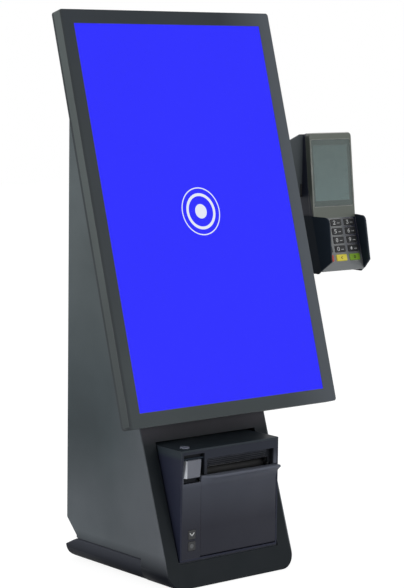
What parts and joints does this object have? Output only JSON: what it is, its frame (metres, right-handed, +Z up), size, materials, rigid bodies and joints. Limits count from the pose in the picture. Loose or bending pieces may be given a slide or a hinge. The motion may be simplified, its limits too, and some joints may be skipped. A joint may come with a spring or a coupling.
{
  "type": "self-service kiosk",
  "caption": "Counter-top ordering kiosk: a leaning portrait touch display on a wedge stand, with a receipt printer in its front and a card payment terminal on a side arm.",
  "frame": {"origin": "middle of the foot's anchor pattern, on the counter", "axes": "+Z up, -Y towards the customer, +X to the customer's right, where the terminal is"},
  "size_m": [0.4983, 0.234, 0.7608],
  "materials": {
    "painted_dark": "satin",
    "foot_dark": "satin",
    "rubber": "matte",
    "zinc_steel": "brushed",
    "display_metal": "satin",
    "screen_glass": "gloss",
    "screen_panel": "gloss",
    "box_metal": "satin",
    "black_plastic": "satin",
    "printer_plastic": "satin",
    "pale_plastic": "satin",
    "gear_plastic": "satin",
    "paper": "matte",
    "terminal_grey": "gloss",
    "terminal_dark": "satin",
    "terminal_glass": "gloss",
    "key_black": "satin",
    "key_red": "satin",
    "key_yellow": "satin",
    "key_green": "satin"
  },
  "bodies": {
    "kiosk_body": {"base_pad": "rubber", "base_plate": "foot_dark", "body_floor": "painted_dark", "fasteners": "zinc_steel", "left_side_panel": "painted_dark", "right_side_panel": "painted_dark", "front_panel": "painted_dark", "neck_panel": "painted_dark", "top_panel": "painted_dark", "rear_sill": "painted_dark", "lock_post": "painted_dark", "power_inlet": "black_plastic", "cable_grommet": "rubber", "display_bezel": "display_metal", "touch_glass": "screen_glass", "lcd_panel": "screen_panel", "display_back_cover": "display_metal", "display_mount": "painted_dark", "controller_box": "box_metal", "power_supply": "box_metal", "printer_case": "printer_plastic", "printer_fascia": "printer_plastic", "printer_door_pin": "zinc_steel", "print_frame": "zinc_steel", "print_head": "display_metal", "feed_motor": "zinc_steel", "roll_spindle": "zinc_steel", "terminal_arm": "painted_dark", "terminal_back_case": "terminal_dark", "terminal_front_case": "terminal_grey", "terminal_screen": "terminal_glass", "terminal_display": "terminal_dark", "key_mat": "rubber", "privacy_shield": "black_plastic"},
    "rear_door": {"rear_door": "painted_dark", "rear_door_pins": "zinc_steel"},
    "lock_barrel": {"lock_barrel": "zinc_steel"},
    "printer_door": {"printer_door": "printer_plastic"},
    "cover_lever": {"cover_lever": "pale_plastic"},
    "power_button": {"power_button": "pale_plastic"},
    "feed_button": {"feed_button": "black_plastic"},
    "mode_button": {"mode_button": "black_plastic"},
    "platen_roller": {"platen_roller": "rubber"},
    "motor_pinion": {"motor_pinion": "gear_plastic"},
    "paper_roll": {"paper_roll": "paper"},
    "key_1": {"key_1": "key_black"},
    "key_2": {"key_2": "key_black"},
    "key_3": {"key_3": "key_black"},
    "key_4": {"key_4": "key_black"},
    "key_5": {"key_5": "key_black"},
    "key_6": {"key_6": "key_black"},
    "key_7": {"key_7": "key_black"},
    "key_8": {"key_8": "key_black"},
    "key_9": {"key_9": "key_black"},
    "key_star": {"key_star": "key_black"},
    "key_0": {"key_0": "key_black"},
    "key_hash": {"key_hash": "key_black"},
    "key_cancel": {"key_cancel": "key_red"},
    "key_clear": {"key_clear": "key_yellow"},
    "key_enter": {"key_enter": "key_green"}
  },
  "joints": [
    {"name": "rear_door_swing", "type": "hinge", "parent": "kiosk_body", "child": "rear_door", "pos_m": [0.0965, 0.1205, 0.3887], "axis": [0, 0, -1], "range_deg": [0, 110]},
    {"name": "lock_turn", "type": "hinge", "parent": "rear_door", "child": "lock_barrel", "pos_m": [-0.088, 0.1275, 0.3887], "axis": [0, -1, 0], "range_deg": [0, 90]},
    {"name": "printer_door_swing", "type": "hinge", "parent": "kiosk_body", "child": "printer_door", "pos_m": [0.01585, -0.088, 0.0413], "axis": [1, 0, 0], "range_deg": [0, 90]},
    {"name": "cover_lever_pull", "type": "hinge", "parent": "kiosk_body", "child": "cover_lever", "pos_m": [-0.0657, -0.0872, 0.1725], "axis": [-1, 0, 0], "range_deg": [0, 24], "stiffness_Nm_per_rad": 0.05},
    {"name": "power_press", "type": "slide", "parent": "kiosk_body", "child": "power_button", "axis": [0, 0, -1], "range_m": [0, 0.0009], "stiffness_N_per_m": 300},
    {"name": "feed_press", "type": "slide", "parent": "kiosk_body", "child": "feed_button", "axis": [0, 1, 0], "range_m": [0, 0.0009], "stiffness_N_per_m": 300},
    {"name": "mode_press", "type": "slide", "parent": "kiosk_body", "child": "mode_button", "axis": [0, 1, 0], "range_m": [0, 0.0009], "stiffness_N_per_m": 300},
    {"name": "roll_spin", "type": "hinge", "parent": "kiosk_body", "child": "paper_roll", "pos_m": [0.0183, 0.0065, 0.0847], "axis": [1, 0, 0], "continuous": true},
    {"name": "platen_spin", "type": "hinge", "parent": "kiosk_body", "child": "platen_roller", "pos_m": [0.0183, -0.0638, 0.14705], "axis": [1, 0, 0], "continuous": true},
    {"name": "pinion_spin", "type": "hinge", "parent": "kiosk_body", "child": "motor_pinion", "pos_m": [-0.0532, -0.0458, 0.14705], "axis": [1, 0, 0], "continuous": true},
    {"name": "key_1_press", "type": "slide", "parent": "kiosk_body", "child": "key_1", "axis": [0, 0.9636, -0.2672], "range_m": [0, 0.001], "stiffness_N_per_m": 300},
    {"name": "key_2_press", "type": "slide", "parent": "kiosk_body", "child": "key_2", "axis": [0, 0.9636, -0.2672], "range_m": [0, 0.001], "stiffness_N_per_m": 300},
    {"name": "key_3_press", "type": "slide", "parent": "kiosk_body", "child": "key_3", "axis": [0, 0.9636, -0.2672], "range_m": [0, 0.001], "stiffness_N_per_m": 300},
    {"name": "key_4_press", "type": "slide", "parent": "kiosk_body", "child": "key_4", "axis": [0, 0.9636, -0.2672], "range_m": [0, 0.001], "stiffness_N_per_m": 300},
    {"name": "key_5_press", "type": "slide", "parent": "kiosk_body", "child": "key_5", "axis": [0, 0.9636, -0.2672], "range_m": [0, 0.001], "stiffness_N_per_m": 300},
    {"name": "key_6_press", "type": "slide", "parent": "kiosk_body", "child": "key_6", "axis": [0, 0.9636, -0.2672], "range_m": [0, 0.001], "stiffness_N_per_m": 300},
    {"name": "key_7_press", "type": "slide", "parent": "kiosk_body", "child": "key_7", "axis": [0, 0.9636, -0.2672], "range_m": [0, 0.001], "stiffness_N_per_m": 300},
    {"name": "key_8_press", "type": "slide", "parent": "kiosk_body", "child": "key_8", "axis": [0, 0.9636, -0.2672], "range_m": [0, 0.001], "stiffness_N_per_m": 300},
    {"name": "key_9_press", "type": "slide", "parent": "kiosk_body", "child": "key_9", "axis": [0, 0.9636, -0.2672], "range_m": [0, 0.001], "stiffness_N_per_m": 300},
    {"name": "key_star_press", "type": "slide", "parent": "kiosk_body", "child": "key_star", "axis": [0, 0.9636, -0.2672], "range_m": [0, 0.001], "stiffness_N_per_m": 300},
    {"name": "key_0_press", "type": "slide", "parent": "kiosk_body", "child": "key_0", "axis": [0, 0.9636, -0.2672], "range_m": [0, 0.001], "stiffness_N_per_m": 300},
    {"name": "key_hash_press", "type": "slide", "parent": "kiosk_body", "child": "key_hash", "axis": [0, 0.9636, -0.2672], "range_m": [0, 0.001], "stiffness_N_per_m": 300},
    {"name": "key_cancel_press", "type": "slide", "parent": "kiosk_body", "child": "key_cancel", "axis": [0, 0.9636, -0.2672], "range_m": [0, 0.001], "stiffness_N_per_m": 300},
    {"name": "key_clear_press", "type": "slide", "parent": "kiosk_body", "child": "key_clear", "axis": [0, 0.9636, -0.2672], "range_m": [0, 0.001], "stiffness_N_per_m": 300},
    {"name": "key_enter_press", "type": "slide", "parent": "kiosk_body", "child": "key_enter", "axis": [0, 0.9636, -0.2672], "range_m": [0, 0.001], "stiffness_N_per_m": 300}
  ],
  "couplings": [
    {"joint": "platen_spin", "follows": "roll_spin", "ratio": -6},
    {"joint": "pinion_spin", "follows": "roll_spin", "ratio": 12}
  ]
}
